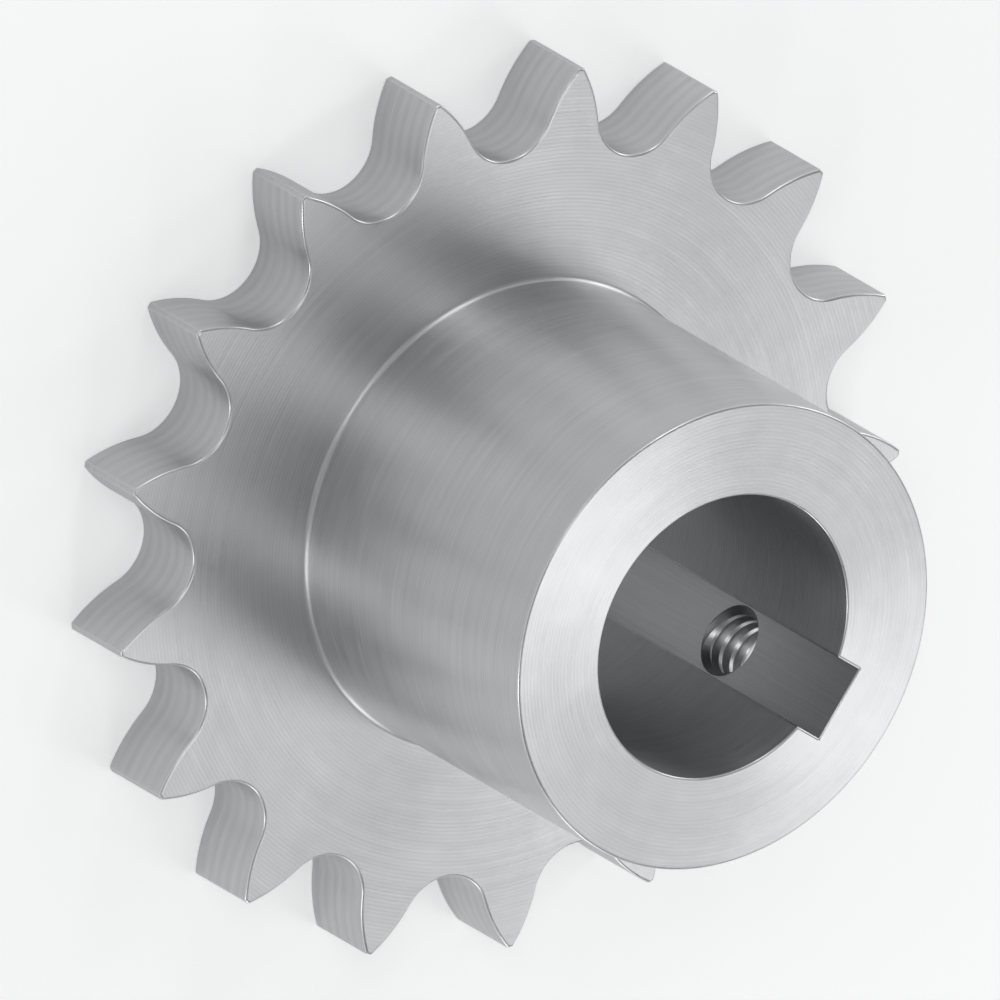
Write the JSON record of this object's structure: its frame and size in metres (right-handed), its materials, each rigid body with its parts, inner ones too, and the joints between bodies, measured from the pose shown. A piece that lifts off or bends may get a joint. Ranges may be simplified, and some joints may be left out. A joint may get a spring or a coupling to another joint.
{
  "type": "roller chain sprocket",
  "caption": "Steel roller chain sprocket with a long hub on one side, a keyed bore and a tapped hole for a set screw over the keyway.",
  "frame": {"origin": "centre of the bore on the toothed plate's back face", "axes": "+Z along the bore towards the hub's free end, +Y from the bore's axis through the keyway, the set screw hole and the middle of one tooth gap"},
  "size_m": [0.0748, 0.0744, 0.0377],
  "materials": {
    "steel": "bare machined steel: turned faces, hub and bore, cut tooth flanks, broached keyway"
  },
  "bodies": {
    "root": {"sprocket": "steel"}
  },
  "joints": []
}
